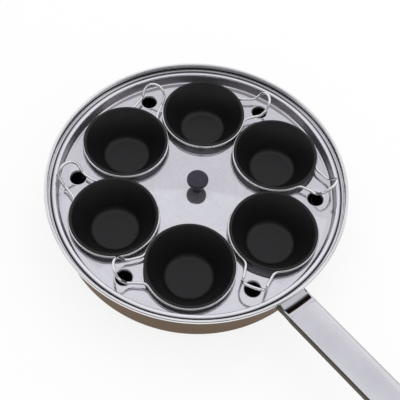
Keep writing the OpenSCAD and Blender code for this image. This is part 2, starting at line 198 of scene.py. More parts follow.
class WireSizes(bpy.types.PropertyGroup):
    """Sizes of a wire holder."""
    radius: length("Wire", "Radius of the wire", 1.2)
    ring_inset: length("Ring inset", "How far the ring lies inside the lip's edge", 0.3)
    ring_gap: length("Ring gap", "Gap between the ring and the lip above it", 0.1)
    joint: length("Joint", "Gap of the butt joint in the ring", 0.3)
    joint_turn: angle("Joint turn", "Angle from the loop to the butt joint, clockwise", 90)
    loop: length("Loop", "Half the loop's width at its end", 10.2)
    lean: angle("Lean", "Lean of the legs towards each other", 9)
    root_bend: length("Root bend", "Radius of the bend where a leg leaves the ring", 8)
    waist_bend: length("Waist bend", "Radius of the bend that turns the legs parallel", 14)
    reach: length("Reach", "Distance from the ring to the upward bend", 11.5)
    rise_bend: length("Rise bend", "Radius of the upward bend", 5)
    rise: angle("Rise", "Rise of the loop's end", 54)
    straight: length("Straight", "Straight stretch before the round end", 3.6)
    turns: bpy.props.FloatVectorProperty(
        name="Turns", description="Turn of each loop from the outward direction", size=CUPS,
        default=[radians(a) for a in (-75.8, -65, -75, -80.7, -69.8, -78.4)], unit="ROTATION")


class Finishes(bpy.types.PropertyGroup):
    """Colours and gloss of the finishes."""
    steel: colour("Steel", "Polished stainless steel", (0.76, 0.75, 0.77))
    rim: colour("Rim steel", "Brighter steel of the curled rim", (0.90, 0.89, 0.91))
    tray: colour("Tray steel", "Mirror polished steel of the tray", (0.90, 0.875, 0.93))
    grip: colour("Grip steel", "Satin steel of the grip's top", (0.71, 0.70, 0.74))
    # Painted reflection: this brown coat stands in for the brown surroundings that the pan's steel
    # outside mirrors
    brown_reflection: colour("Bronze", "Brown coat outside the pan", (0.128, 0.072, 0.030))
    # Painted reflection: this dark coat stands in for the dark table that the handle's steel sides
    # mirror
    olive_reflection: colour("Olive", "Dark olive coat on the grip's sides", (0.078, 0.066, 0.044))
    wire: colour("Wire", "Bright drawn steel wire", (0.92, 0.92, 0.93))
    cup: colour("Cup", "Black non-stick coating", (0.0065, 0.0065, 0.0072))
    anodised: colour("Anodised", "Dark grey outside of a cup", (0.16, 0.16, 0.165))
    knob: colour("Knob", "Dark phenolic of the knob", (0.022, 0.020, 0.032))
    aluminium: colour("Aluminium", "Aluminium of the core", (0.72, 0.72, 0.74))
    brass: colour("Brass", "Brass of the knob's insert", (0.72, 0.55, 0.26))
    mirror: amount("Mirror roughness", "Roughness of the polished steel", 0.07)
    satin: amount("Satin roughness", "Roughness of the satin steel", 0.22)


class StudioSettings(bpy.types.PropertyGroup):
    """The camera at the photograph's angle, the lamps and the world."""
    azimuth: angle("Azimuth", "Direction that the camera looks to, turned from +Y to -X", 49.1)
    elevation: angle("Elevation", "Height of the camera above the horizon", 59.35)
    roll: angle("Roll", "Roll of the camera", 5.65)
    distance: length("Distance", "Distance from the camera to the point it looks at", 578.88)
    target: bpy.props.FloatVectorProperty(name="Target", description="Point that the camera looks at",
                                          size=3, default=(0.01085, -0.00448, 0.044), unit="LENGTH")
    lens: bpy.props.FloatProperty(name="Lens", description="Focal length in mm on a 36 mm sensor",
                                  default=59.97)
    key: amount("Key", "Power of the overhead softbox in watts", 11.0, 100.0)
    fill: amount("Fill", "Power of the side softbox in watts", 4.0, 100.0)
    sky: amount("Sky", "Strength of the world on matt surfaces", 0.62, 2.0)
    ceiling: colour("Ceiling", "Mirrored from above the backdrop", (0.924, 0.95, 0.99))
    backdrop: colour("Backdrop", "Mirrored from high at the back", (0.803, 0.807, 0.847))
    front: colour("Front", "Mirrored from high behind the camera", (0.34, 0.34, 0.35))
    lower: colour("Lower backdrop", "Mirrored from low at the back", (0.88, 0.88, 0.90))
    side: colour("Side", "Mirrored from high at both sides", (0.95, 0.95, 0.97))
    fore: colour("Fore", "Mirrored from low at the front and the sides", (0.6, 0.6, 0.61))
    dark: colour("Dark band", "Mirrored from between fore and what is high", (0.15, 0.15, 0.16))
    horizon: colour("Horizon", "Mirrored from the horizon and halfway up the back", (1.0, 1.0, 1.0))


# Surfaces worked out with numpy

def arc(centre, radius, start, stop, steps):
    """Points of an arc: centre + radius * (cos a, sin a), while a runs from start to stop."""
    a = np.radians(np.linspace(start, stop, steps + 1))
    return np.stack([centre[0] + radius * np.cos(a), centre[1] + radius * np.sin(a)], axis=1)


def run(*stretches):
    """One line of points out of several stretches, each an array or a single point."""
    return np.concatenate([np.atleast_2d(np.asarray(s, float)) for s in stretches])


def grid_faces(rows, columns, round_rows=False, round_columns=False):
    """The quads between neighbouring points of a grid, closed in either direction if asked."""
    r = np.arange(rows if round_rows else rows - 1)[:, None]
    c = np.arange(columns if round_columns else columns - 1)[None, :]
    r2, c2 = (r + 1) % rows, (c + 1) % columns
    quads = np.stack([r * columns + c, r * columns + c2, r2 * columns + c2, r2 * columns + c], axis=-1)
    return quads.reshape(-1, 4)


def revolve(section, turns=TURNS, centre=(0.0, 0.0, 0.0), closed=True, finish=0):
    """A section (radius, height) turned about an upright axis: (r cos a, r sin a, z) for a full turn.

    finish is the material of every face, or one number for each stretch of the section."""
    a = np.linspace(0, 2 * pi, turns, endpoint=False)
    r, z = section[:, :1], section[:, 1:]
    points = np.stack([r * np.cos(a), r * np.sin(a), z + 0 * a], axis=-1).reshape(-1, 3)
    faces = grid_faces(len(section), turns, closed, True)
    stretches = len(section) if closed else len(section) - 1
    marks = np.broadcast_to(np.asarray(finish), (stretches,))
    return points + np.asarray(centre), faces, np.repeat(marks, turns)


def crown_drop(radius, across):
    """How far a crown falls at a distance across from its ridge: R - sqrt(R^2 - y^2)."""
    return radius - np.sqrt(radius ** 2 - np.square(across))


def along_grip(points):
    """Moves points from the grip's own level axes to their raised place on the pan."""
    h, p = bpy.context.scene.handle_sizes, bpy.context.scene.pan_sizes
    turn = np.array(Matrix.Rotation(-h.rise, 3, "Y"))
    return points @ turn.T + np.array([p.rim_radius + h.reach, 0, p.height - h.drop])


def pan_wall():
    """Inner radius of the pan's wall below its ledge."""
    p = bpy.context.scene.pan_sizes
    return p.rim_radius - 2 * p.curl - p.ledge_width


def tray_floor():
    """Height of the top of the tray's floor."""
    p, t = bpy.context.scene.pan_sizes, bpy.context.scene.tray_sizes
    return p.height - p.ledge_drop + t.sheet - t.depth


def cup_place(index):
    """Centre of a cup on the tray's floor and the angle of its outward direction."""
    t = bpy.context.scene.tray_sizes
    a = t.first_cup + index * 2 * pi / CUPS
    return np.array([t.cup_circle * cos(a), t.cup_circle * sin(a), tray_floor()]), a


def steam_place(index):
    """Centre of a steam hole on the tray's floor."""
    t = bpy.context.scene.tray_sizes
    a = t.first_cup + (index + 0.5) * 2 * pi / CUPS
    return np.array([t.steam_circle * cos(a), t.steam_circle * sin(a), tray_floor()])


# Pieces

def piece(name, shells, materials, body, nodes, bevel=0.0, attributes=None):
    """One closed mesh out of shells of (points, faces, materials), put on its body in the frame.

    Points that fall together are merged, so seams and poles close, and then faces turn outwards."""
    points, faces, marks, start = [], [], [], 0
    for shell_points, shell_faces, shell_marks in shells:
        points.append(shell_points)
        faces.extend((np.asarray(shell_faces) + start).tolist())
        marks.append(shell_marks)
        start += len(shell_points)
    mesh = bpy.data.meshes.new(name)
    mesh.from_pydata(np.concatenate(points).tolist(), [], faces)
    mesh.polygons.foreach_set("material_index", np.concatenate(marks).astype(np.int32))
    for key, values in (attributes or {}).items():
        mesh.attributes.new(key, "FLOAT", "POINT").data.foreach_set("value", values.astype(np.float32))
    work = bmesh.new()
    work.from_mesh(mesh)
    bmesh.ops.remove_doubles(work, verts=work.verts, dist=MERGE)
    bmesh.ops.recalc_face_normals(work, faces=work.faces)
    work.to_mesh(mesh)
    work.free()
    obj = bpy.data.objects.new(name, mesh)
    bpy.context.scene.collection.objects.link(obj)
    for material in materials:
        mesh.materials.append(material)
    mesh.shade_smooth()
    mesh.set_sharp_from_angle(angle=SHARP_ANGLE)
    if bevel:
        edge = obj.modifiers.new("Edges", "BEVEL")
        edge.width, edge.segments, edge.limit_method = bevel, 3, "ANGLE"
        edge.angle_limit, edge.harden_normals = radians(50), True
    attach(obj, body)
    if nodes:
        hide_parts(*nodes)
    return obj


def fill_between(outer, holes, height):
    """A flat sheet inside an outline with holes cut out, as triangles between the outlines' points."""
    edges, count = [], 0
    for outline in (outer, *holes):
        step = np.arange(len(outline))
        edges.append(count + np.stack([step, (step + 1) % len(outline)], axis=1))
        count += len(outline)
    places = np.column_stack([np.concatenate([outer, *holes]), np.full(count, height)])
    sheet = bpy.data.meshes.new("sheet")
    sheet.from_pydata(places.tolist(), np.concatenate(edges).tolist(), [])
    work = bmesh.new()
    work.from_mesh(sheet)
    bmesh.ops.triangle_fill(work, use_beauty=True, use_dissolve=False, edges=work.edges)
    work.to_mesh(sheet)
    work.free()
    points = np.empty(3 * count, np.float32)
    faces = np.empty(3 * len(sheet.polygons), np.int32)
    sheet.vertices.foreach_get("co", points)
    sheet.loops.foreach_get("vertex_index", faces)
    bpy.data.meshes.remove(sheet)
    return points.reshape(-1, 3), faces.reshape(-1, 3), np.zeros(len(faces) // 3)


def circle(centre, radius, turns):
    """Points around a circle, where a revolved piece of as many turns has its own."""
    a = np.linspace(0, 2 * pi, turns, endpoint=False)
    return np.stack([centre[0] + radius * np.cos(a), centre[1] + radius * np.sin(a)], axis=1)


# Materials

def add(tree, kind, inputs=None, **settings):
    """Adds a node. An input that is a socket is linked, and any other value is set."""
    node = tree.nodes.new(kind)
    for key, value in settings.items():
        setattr(node, key, value)
    for key, value in (inputs or {}).items():
        if isinstance(value, bpy.types.NodeSocket):
            tree.links.new(value, node.inputs[key])
        else:
            node.inputs[key].default_value = value
    return node


def maths(tree, operation, a, b=0.0):
    """The result of a Math node on two sockets or numbers."""
    return add(tree, "ShaderNodeMath", {0: a, 1: b}, operation=operation).outputs[0]


def start_material(name, colour_value, metallic, roughness, **sockets):
    """A material with one Principled shader, with its tree and that shader."""
    material = bpy.data.materials.new(name)
    material.use_nodes = True
    tree = material.node_tree
    tree.nodes.clear()
    shader = add(tree, "ShaderNodeBsdfPrincipled", {
        "Base Color": (*colour_value, 1), "Metallic": metallic, "Roughness": roughness})
    for key, value in sockets.items():
        shader.inputs[key.replace("_", " ")].default_value = value
    add(tree, "ShaderNodeOutputMaterial", {"Surface": shader.outputs[0]})
    return material, tree, shader


def noise(tree, vector, scale, detail=3.0, roughness=0.5):
    """Noise from 0 to 1 on the given coordinates."""
    return add(tree, "ShaderNodeTexNoise", {"Vector": vector, "Scale": scale, "Detail": detail,
                                            "Roughness": roughness}).outputs["Fac"]


def between(tree, factor, low, high, start=0.0, stop=1.0):
    """The factor, mapped from start..stop to low..high and clamped."""
    return add(tree, "ShaderNodeMapRange", {"Value": factor, "From Min": start, "From Max": stop,
                                            "To Min": low, "To Max": high}).outputs["Result"]


def blend(tree, factor, first, second, blend_type="MIX"):
    """A colour between two others. Each may be a colour or a socket."""
    colours = [c if isinstance(c, bpy.types.NodeSocket) else (*c, 1) for c in (first, second)]
    node = add(tree, "ShaderNodeMix", {0: factor}, data_type="RGBA", blend_type=blend_type)
    for socket, value in zip((node.inputs[6], node.inputs[7]), colours):
        if isinstance(value, bpy.types.NodeSocket):
            tree.links.new(value, socket)
        else:
            socket.default_value = value
    return node.outputs[2]


def tone_along(tree, distance, stops, span=100):
    """A grey that runs through stops of (distance in mm, tone), all of them below span."""
    ramp = add(tree, "ShaderNodeValToRGB", {"Fac": maths(tree, "DIVIDE", distance, span * MM)})
    marks = ramp.color_ramp.elements
    for place, (level, tone) in enumerate(stops):
        mark = marks[place] if place < 2 else marks.new(level / span)
        mark.position, mark.color = level / span, (tone, tone, tone, 1)
    return ramp.outputs["Color"]


def bump(tree, height, strength, distance, normal=None):
    """A Bump node's normal, added on top of another one where given."""
    inputs = {"Height": height, "Strength": strength, "Distance": distance}
    if normal is not None:
        inputs["Normal"] = normal
    return add(tree, "ShaderNodeBump", inputs).outputs[0]


def mottle(tree, factor, base, low, high, start, stop):
    """The base colour, times low where the factor is at start and times high where it is at stop."""
    shades = [tuple(min(1.0, c * times) for c in base) for times in (low, high)]
    return blend(tree, between(tree, factor, 0, 1, start, stop), *shades)


def vary(tree, shader, colour_of, roughness_of, normal_of):
    """Links what differs from place to place: the shader's colour, roughness and normal."""
    for key, value in (("Base Color", colour_of), ("Roughness", roughness_of), ("Normal", normal_of)):
        tree.links.new(value, shader.inputs[key])


def turned(tree):
    """The place, coordinates for lines around the upright axis, the radius and the height.

    The coordinates are (radius, height, a little of the angle)."""
    place = add(tree, "ShaderNodeTexCoord").outputs["Object"]
    split = add(tree, "ShaderNodeSeparateXYZ", {0: place})
    x, y, z = split.outputs
    radius = maths(tree, "SQRT", maths(tree, "ADD", maths(tree, "MULTIPLY", x, x),
                                       maths(tree, "MULTIPLY", y, y)))
    swing = maths(tree, "MULTIPLY", maths(tree, "ARCTAN2", y, x), 0.004)
    return place, add(tree, "ShaderNodeCombineXYZ", {0: radius, 1: z, 2: swing}).outputs[0], radius, z


def polished_steel(name, base, roughness, wave=0.5, lines=0.25, streak=0.1, painted_shade=None, within=1.0,
                   dull=0.0, shade_by_radius=None, haze=0.0):
    """Polished sheet: turned polishing lines, gentle waves, a slightly uneven gloss and a matt haze.

    Painted shade: the stops given by height darken it, but only within a radius, and the darkened parts
    are less glossy by dull. The stops given by radius darken it by its distance from the axis, with
    painted shade and painted reflection. haze is the share that is matt instead of metal."""
    material, tree, shader = start_material(name, base, 1.0 - haze, roughness)
    place, rings, radius, height = turned(tree)
    fine, cloud = noise(tree, rings, 2600, 4), noise(tree, place, 38, 4)
    bands = between(tree, noise(tree, rings, 700, 3, 0.7), 1 - streak, 1, 0.35, 0.6)
    grey = add(tree, "ShaderNodeCombineColor", {0: bands, 1: bands, 2: bands}).outputs[0]
    sheen = blend(tree, 1.0, mottle(tree, cloud, base, 0.955, 1, 0.35, 0.65), grey, "MULTIPLY")
    # Painted shade by height, only within the given radius
    if painted_shade:
        inside = between(tree, radius, 1, 0, within, within + 0.4 * MM)
        tone = tone_along(tree, height, painted_shade)
        sheen = blend(tree, inside, sheen, tone, "MULTIPLY")
    # Painted shade and painted reflection by distance from the axis
    if shade_by_radius:
        sheen = blend(tree, 1.0, sheen, tone_along(tree, radius, shade_by_radius, 200), "MULTIPLY")
    gloss = maths(tree, "ADD", between(tree, cloud, roughness * 0.75, roughness * 1.2, 0.3, 0.7),
                  between(tree, fine, 0.0, 0.025, 0.45, 0.8))
    if dull:
        gloss = maths(tree, "ADD", gloss, between(tree, tone, dull, 0, 0.5, 1))
    waves = bump(tree, noise(tree, place, 26, 1), wave, 0.00025)
    vary(tree, shader, sheen, gloss, bump(tree, fine, lines, 0.000006, waves))
    return material


def satin_steel(name, base, roughness, rise, groove_shade=False):
    """Satin steel brushed along the grip: long fine lines, and faint cloudy wear.

    Where asked, the piece's own tone attribute darkens it with painted shade, as in the neck's groove."""
    material, tree, shader = start_material(name, base, 1.0, roughness)
    place = add(tree, "ShaderNodeTexCoord").outputs["Object"]
    level = add(tree, "ShaderNodeMapping", {"Vector": place, "Rotation": (0, rise, 0),
                                            "Scale": (8, 900, 900)}).outputs[0]
    lines, cloud = noise(tree, level, 1.0, 3), noise(tree, place, 30, 4)
    sheen = mottle(tree, cloud, base, 0.94, 1, 0.35, 0.65)
    if groove_shade:
        # Painted shade: the tone attribute darkens the groove
        tone = add(tree, "ShaderNodeAttribute", attribute_name="tone").outputs["Color"]
        sheen = blend(tree, 1.0, sheen, tone, "MULTIPLY")
    vary(tree, shader, sheen, between(tree, lines, roughness * 0.8, roughness * 1.25, 0.3, 0.7),
         bump(tree, lines, 0.25, 0.000008))
    return material


def coat(name, base, grain, roughness=0.42, metallic=0.2):
    """A sprayed metallic coat: fine orange peel, cloudy tone and an uneven half gloss."""
    material, tree, shader = start_material(name, base, metallic, roughness, Specular_IOR_Level=0.1)
    place = add(tree, "ShaderNodeTexCoord").outputs["Object"]
    peel, cloud = noise(tree, place, grain, 3), noise(tree, place, 22, 4)
    vary(tree, shader, mottle(tree, cloud, base, 0.88, 1.06, 0.3, 0.7),
         between(tree, cloud, roughness * 0.9, roughness * 1.15, 0.3, 0.7),
         bump(tree, peel, 0.25, 0.00002))
    return material


def nonstick(name, base):
    """Black non-stick coating: fine specks in a satin film, with a soft orange peel."""
    material, tree, shader = start_material(name, base, 0.0, 0.34, Specular_IOR_Level=0.3)
    place = add(tree, "ShaderNodeTexCoord").outputs["Object"]
    specks, film = noise(tree, place, 2200, 2), noise(tree, place, 260, 3)
    vary(tree, shader, mottle(tree, specks, base, 1, 3.2, 0.62, 0.74),
         between(tree, film, 0.28, 0.40, 0.3, 0.7),
         bump(tree, film, 0.3, 0.00003, bump(tree, specks, 0.2, 0.000006)))
    return material


def drawn_wire(name, base):
    """Bright drawn wire: fine lines that run along it, from its own along and around attributes."""
    material, tree, shader = start_material(name, base, 1.0, 0.1)
    along = add(tree, "ShaderNodeAttribute", attribute_name="along").outputs["Fac"]
    around = add(tree, "ShaderNodeAttribute", attribute_name="around").outputs["Fac"]
    drawn = add(tree, "ShaderNodeCombineXYZ", {0: maths(tree, "MULTIPLY", along, 90.0),
                                               1: maths(tree, "MULTIPLY", around, 9.0)}).outputs[0]
    lines = noise(tree, drawn, 1.0, 3)
    vary(tree, shader, mottle(tree, lines, base, 0.88, 1, 0.35, 0.6),
         between(tree, lines, 0.05, 0.09, 0.3, 0.7), bump(tree, lines, 0.2, 0.00001))
    return material


def phenolic(name, base):
    """Moulded phenolic: a faint marbling, half gloss and a very fine moulded skin."""
    material, tree, shader = start_material(name, base, 0.0, 0.3, Specular_IOR_Level=0.3)
    place = add(tree, "ShaderNodeTexCoord").outputs["Object"]
    marble, skin = noise(tree, place, 160, 5, 0.6), noise(tree, place, 1800, 2)
    vary(tree, shader, mottle(tree, marble, base, 1, 1.5, 0.4, 0.7),
         between(tree, marble, 0.26, 0.36, 0.3, 0.7), bump(tree, skin, 0.15, 0.000008))
    return material


def turned_metal(name, base, roughness, pitch):
    """Metal off the lathe: tool marks around the upright axis, one to each pitch."""
    material, tree, shader = start_material(name, base, 1.0, roughness)
    place, _, radius, _ = turned(tree)
    marks = maths(tree, "SINE", maths(tree, "MULTIPLY", radius, 2 * pi / pitch))
    cloud = noise(tree, place, 60, 4)
    vary(tree, shader, mottle(tree, cloud, base, 0.85, 1, 0, 1),
         between(tree, cloud, roughness * 0.8, roughness * 1.3, 0.3, 0.7),
         bump(tree, marks, 0.3, 0.00003))
    return material


def finish_node(name, material):
    """Gives a hidden CAD node, which is shown as it is, its only material."""
    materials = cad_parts[name].data.materials
    materials.clear()
    materials.append(material)


# Operators

class PoacherOperator:
    """What every operator here shares: it runs on the scene and can be undone."""
    bl_options = {"REGISTER", "UNDO"}


class POACHER_OT_pan_body(PoacherOperator, bpy.types.Operator):
    """Turn the pan's sheet: floor, wall, ledge with a painted shadow line in it, and curled rim"""
    bl_idname = "poacher.pan_body"
    bl_label = "Pan body"

    def execute(self, context):
        p, f = context.scene.pan_sizes, context.scene.finishes
        sheet, bend = p.sheet, p.ledge_bend
        floor = p.cap + p.core
        upper_in = p.rim_radius - 2 * p.curl
        wall_out = pan_wall() + sheet
        ledge = p.height - p.ledge_drop
        foot = (wall_out - p.corner, floor + p.corner)
        step = (wall_out + bend, ledge - sheet - bend)
        root = (upper_in - bend, ledge + bend)
        curl = (p.rim_radius - p.curl, p.height - p.curl)
        inside = run((0, floor + sheet), arc(foot, p.corner - sheet, 270, 360, 20),
                     arc(step, bend + sheet, 180, 90, 8))
        rim = run(arc(root, bend, 270, 360, 8), arc(curl, p.curl, 180, -70, 36))
        in_curl = arc(curl, p.curl - sheet, -70, 180, 24)
        outside = run(arc(root, bend + sheet, 360, 270, 8), arc(step, bend, 90, 180, 8),
                      arc(foot, p.corner, 360, 270, 20), (0, floor))
        section = run(inside, rim, in_curl, outside)
        marks = np.repeat([0, 2, 0, 1], [len(inside), len(rim), len(in_curl) - 1, len(outside) + 1])
        level = ledge / MM
        # Painted shadow: the steel turns near black around the ledge's height, inside the bright strip
        # by the wall, for the shade in the gap beside the tray's flange
        shadow = ((level - 3, 1), (level - 1, 0.04), (level + 0.4, 0.04), (level + 0.8, 1))
        steel = polished_steel("brushed steel", f.steel, 0.26, streak=0.35, lines=0.5, painted_shade=shadow,
                               within=upper_in - p.gutter)
        # Painted reflection: the outside wall gets a brown coat in place of the brown surroundings it
        # mirrors
        brown_reflection = coat("bronze coat", f.brown_reflection, FINE_GRAIN)
        bright = polished_steel("rim steel", f.rim, 0.12, streak=0.2, lines=0.3)
        piece("pan_body_sheet", [revolve(section, finish=marks)], [steel, brown_reflection, bright],
              "pan", ["pan_body"])
        return {"FINISHED"}


class POACHER_OT_base(PoacherOperator, bpy.types.Operator):
    """Turn the base's steel cover with its rounded edge, and finish the core inside it"""
    bl_idname = "poacher.base"
    bl_label = "Base"

    def execute(self, context):
        p, f = context.scene.pan_sizes, context.scene.finishes
        inner = pan_wall() + p.sheet - p.corner - p.core_inset
        outer, top, edge = inner + p.cap, p.cap + p.core, p.cap_edge
        lip = 0.3 * p.cap
        section = run((0, p.cap), (inner, p.cap), (inner, top),
                      arc((outer - lip, top - lip), lip, 90, 0, 4),
                      arc((outer - edge, edge), edge, 0, -90, 8), (0, 0))
        cover = turned_metal("turned base steel", f.steel, 0.3, 0.0011)
        piece("base_cover", [revolve(section)], [cover], "pan", ["base_cap"])
        finish_node("base_core", turned_metal("core aluminium", f.aluminium, 0.4, 0.0016))
        return {"FINISHED"}


class POACHER_OT_neck(PoacherOperator, bpy.types.Operator):
    """Shape the neck: weld flange, swept underside, deck and the groove before the grip"""
    bl_idname = "poacher.neck"
    bl_label = "Neck"

    def execute(self, context):
        p, h, f = context.scene.pan_sizes, context.scene.handle_sizes, context.scene.finishes
        gap = 0.3 * MM
        wall = pan_wall() + p.sheet
        upper = p.rim_radius - 2 * p.curl + p.sheet + gap
        under_ledge = p.height - p.ledge_drop - p.sheet - gap
        start, top = p.rim_radius + h.reach, p.height - h.drop
        end_x = start + h.depth * sin(h.rise)
        end_z = top - h.depth * cos(h.rise)
        foot_x, foot_z = wall + h.flange, p.height - h.flange_drop
        rise_h = (end_z - foot_z) / 2
        groove = start - h.lip - h.valley
        across = np.linspace(upper + 0.2 * MM, start, 49)
        v = np.clip((across - groove) / h.valley, 0, 1)
        dip = h.valley_dip * np.interp(v, [0, GROOVE_DEEPEST, 1], [0, 1, 0]) ** 1.3
        deck = np.stack([across, top - (start - across) * tan(h.rise)], axis=1)
        rise = np.clip((groove - across) / (groove - upper), 0, 1)
        # Painted shade along the groove, from the places and tones above
        dark = np.interp(v, GROOVE_PLACES, GROOVE_PAINTED_SHADE)
        a = np.radians(np.linspace(90, 0, 17))[:, None]
        sweep = np.hstack([foot_x + (end_x - foot_x) * (1 - np.cos(a)),
                           end_z - rise_h * (1 - np.sin(a))])
        outline = run(deck, sweep, (foot_x, foot_z), (wall, foot_z),
                      (wall, under_ledge), (upper, under_ledge))
        half = h.neck_width / 2
        inner = half - h.neck_side
        middle = np.linspace(-1, 1, 13) * (inner - 0.5 * MM)
        y = np.concatenate([[-half, -inner], middle, [inner, half]])
        rows = len(outline)
        x = np.broadcast_to(outline[:, :1], (rows, len(y)))
        z = np.broadcast_to(outline[:, 1:], (rows, len(y)))
        hug = np.clip((start - x) / (start - wall), 0, 1) ** 0.6
        x = x - crown_drop(wall, y)[None, :] * hug
        z = z.copy()
        z[:len(deck), 2:-2] += (rise * h.neck_rise - dip)[:, None]
        below = slice(len(deck), len(deck) + len(sweep))
        level = np.clip((z[below] - foot_z) / (end_z - foot_z), 0, 1)
        z[below] += crown_drop(h.under_crown, y)[None, :] * level
        narrow = 1 - np.clip((end_z - z) / (end_z - foot_z), 0, 1) * h.foot_narrow / half
        points = np.stack([x, y * narrow, z], axis=-1).reshape(-1, 3)
        # Painted shade: the deck is darkened along the groove for the shade and dark reflections in it
        tone = np.ones(x.shape)
        tone[:len(deck), 2:-2] = dark[:, None]
        faces = grid_faces(rows, len(y), True, False)
        left = np.arange(rows) * len(y)
        sides = [left, (left + len(y) - 1)[::-1]]
        steel = satin_steel("neck steel", f.grip, f.mirror * 1.6, h.rise, groove_shade=True)
        # Painted reflection: the neck's sides and underside get a dark coat in place of the table they
        # mirror
        olive_reflection = coat("neck sides", f.olive_reflection, FINE_GRAIN)
        marks = np.zeros((rows, len(y) - 1))
        marks[np.flatnonzero(v == 1)[0]:len(deck)] = 2
        marks[len(deck):] = 1
        shells = [(points, faces, marks.reshape(-1))]
        for side in sides:
            shells.append((points[side], np.arange(rows)[None], np.ones(1)))
        brushed = satin_steel("neck lip steel", f.grip, f.satin, h.rise)
        painted_shade = np.concatenate([tone.reshape(-1)] + [tone.reshape(-1)[side] for side in sides])
        piece("handle_neck_form", shells, [steel, olive_reflection, brushed], "pan",
              ["handle_neck"], bevel=0.3 * MM, attributes={"tone": painted_shade})
        return {"FINISHED"}


def grip_surface(sizes, inset, under):
    """Half of the grip's closed form, from the seam over its edge to the spine.

    A point is spine(s) + (1 - f) * half_width(s) * outward(s), where s runs along the outline and
    around the round end, and f runs from the edge to the spine. The height is the crown's, less a
    quarter circle along the edge. The top also falls away along its two sloping shoulders."""
    end = sizes.grip_length - sizes.end_width / 2
    widths = [sizes.width / 2, sizes.end_width / 2]
    straight = np.linspace(0, end, GRIP_STEPS)
    turn = np.linspace(pi / 2, -pi / 2, GRIP_END_STEPS + 1)[1:-1]
    ahead = np.concatenate([straight, np.full(len(turn), end), straight[::-1]])
    half = np.interp(ahead, [0, end], widths) - inset
    none, one = np.zeros(GRIP_STEPS), np.ones(GRIP_STEPS)
    out_x = np.concatenate([none, np.cos(turn), none])
    out_y = np.concatenate([one, np.sin(turn), -one])
    edge = max(sizes.edge - inset, 0.1 * MM)
    q = np.radians(np.linspace(0, 90, EDGE_ROWS + 1))
    edge_in, edge_drop = edge * (1 - np.cos(q)), edge * (1 - np.sin(q))
    spread = np.linspace(0, 1, CROWN_ROWS + 1)[1:]
    inward = np.concatenate([np.zeros((WALL_ROWS, len(half))), edge_in[:, None] + 0 * half,
                             edge_in[-1] + spread[:, None] * (half - edge_in[-1])])
    radial = half - inward
    x, y = ahead + radial * out_x, radial * out_y
    crown_radius = (sizes.under_crown if under else sizes.top_crown) - inset
    crown = crown_drop(crown_radius, y)
    if not under:
        soft = 0.4 * MM
        band = np.interp(x, [0, sizes.grip_length], [sizes.shoulder, sizes.end_shoulder])
        beyond = np.abs(y) - (np.interp(x, [0, end], widths) - inset - band)
        crown = crown + sizes.shoulder_slope * (beyond + np.sqrt(beyond ** 2 + soft ** 2)) / 2
    fall = np.concatenate([np.zeros(WALL_ROWS), edge_drop, np.zeros(CROWN_ROWS)])[:, None]
    z = -sizes.depth + inset + crown + fall if under else -inset - crown - fall
    rise = np.linspace(0, 1, WALL_ROWS + 1)[:, None]
    z[:WALL_ROWS + 1] = -sizes.seam + (z[WALL_ROWS] + sizes.seam) * rise
    return np.stack([x, y, z], axis=-1)


def grip_shell(sizes, under):
    """One closed shell of the grip: its outside, its inside and the narrow strips that join them."""
    outer, inner = grip_surface(sizes, 0.0, under), grip_surface(sizes, sizes.shell, under)
    rows, columns = outer.shape[:2]
    shells = []
    side = np.zeros((rows - 1, columns - 1))
    side[:SIDE_REFLECTION_ROWS] = 1
    for surface, marks in ((outer, side), (inner, side * 0)):
        shells.append((surface.reshape(-1, 3), grid_faces(rows, columns), marks.reshape(-1)))
    for a, b in ((outer[0], inner[0]), (outer[:, 0], inner[:, 0]), (outer[:, -1], inner[:, -1])):
        strip = np.stack([a, b])
        shells.append((strip.reshape(-1, 3), grid_faces(2, len(a)), np.zeros(len(a) - 1)))
    return [(along_grip(points), faces, marks) for points, faces, marks in shells]


def cut_round_hole(obj, centre, radius, axis, reach):
    """Cuts a round hole through a piece with a cylinder that is removed again."""
    bpy.ops.mesh.primitive_cylinder_add(vertices=64, radius=radius, depth=reach, location=centre,
                                        rotation=axis)
    cutter = bpy.context.object
    hole = obj.modifiers.new("Hole", "BOOLEAN")
    hole.object, hole.operation, hole.solver = cutter, "DIFFERENCE", "EXACT"
    bpy.context.view_layer.update()
    solved = bpy.data.meshes.new_from_object(obj.evaluated_get(bpy.context.evaluated_depsgraph_get()))
    obj.modifiers.remove(hole)
    obj.data = solved
    obj.data.name = obj.name
    bpy.data.objects.remove(cutter)
    solved.shade_smooth()
    solved.set_sharp_from_angle(angle=SHARP_ANGLE)


class POACHER_OT_grip(PoacherOperator, bpy.types.Operator):
    """Shape the grip's two shells, crowned and rounded along their edges, with the hanging hole"""
    bl_idname = "poacher.grip"
    bl_label = "Grip"

    def execute(self, context):
        h, f = context.scene.handle_sizes, context.scene.finishes
        steel = satin_steel("grip steel", f.grip, f.satin, h.rise)
        # Painted reflection: the grip's sides and underside get a dark coat in place of the table they
        # mirror
        olive_reflection = coat("grip sides", f.olive_reflection, FINE_GRAIN)
        centre = along_grip(np.array([[h.grip_length - h.hole_inset, 0, -h.depth / 2]]))[0]
        for name, under in (("handle_upper_shell", False), ("handle_lower_shell", True)):
            finishes = [olive_reflection, olive_reflection] if under else [steel, olive_reflection]
            shell = piece(name + "_form", grip_shell(h, under), finishes, "pan", [name])
            cut_round_hole(shell, centre, h.hole + h.eyelet, (0, -h.rise, 0), 4 * h.depth)
        return {"FINISHED"}


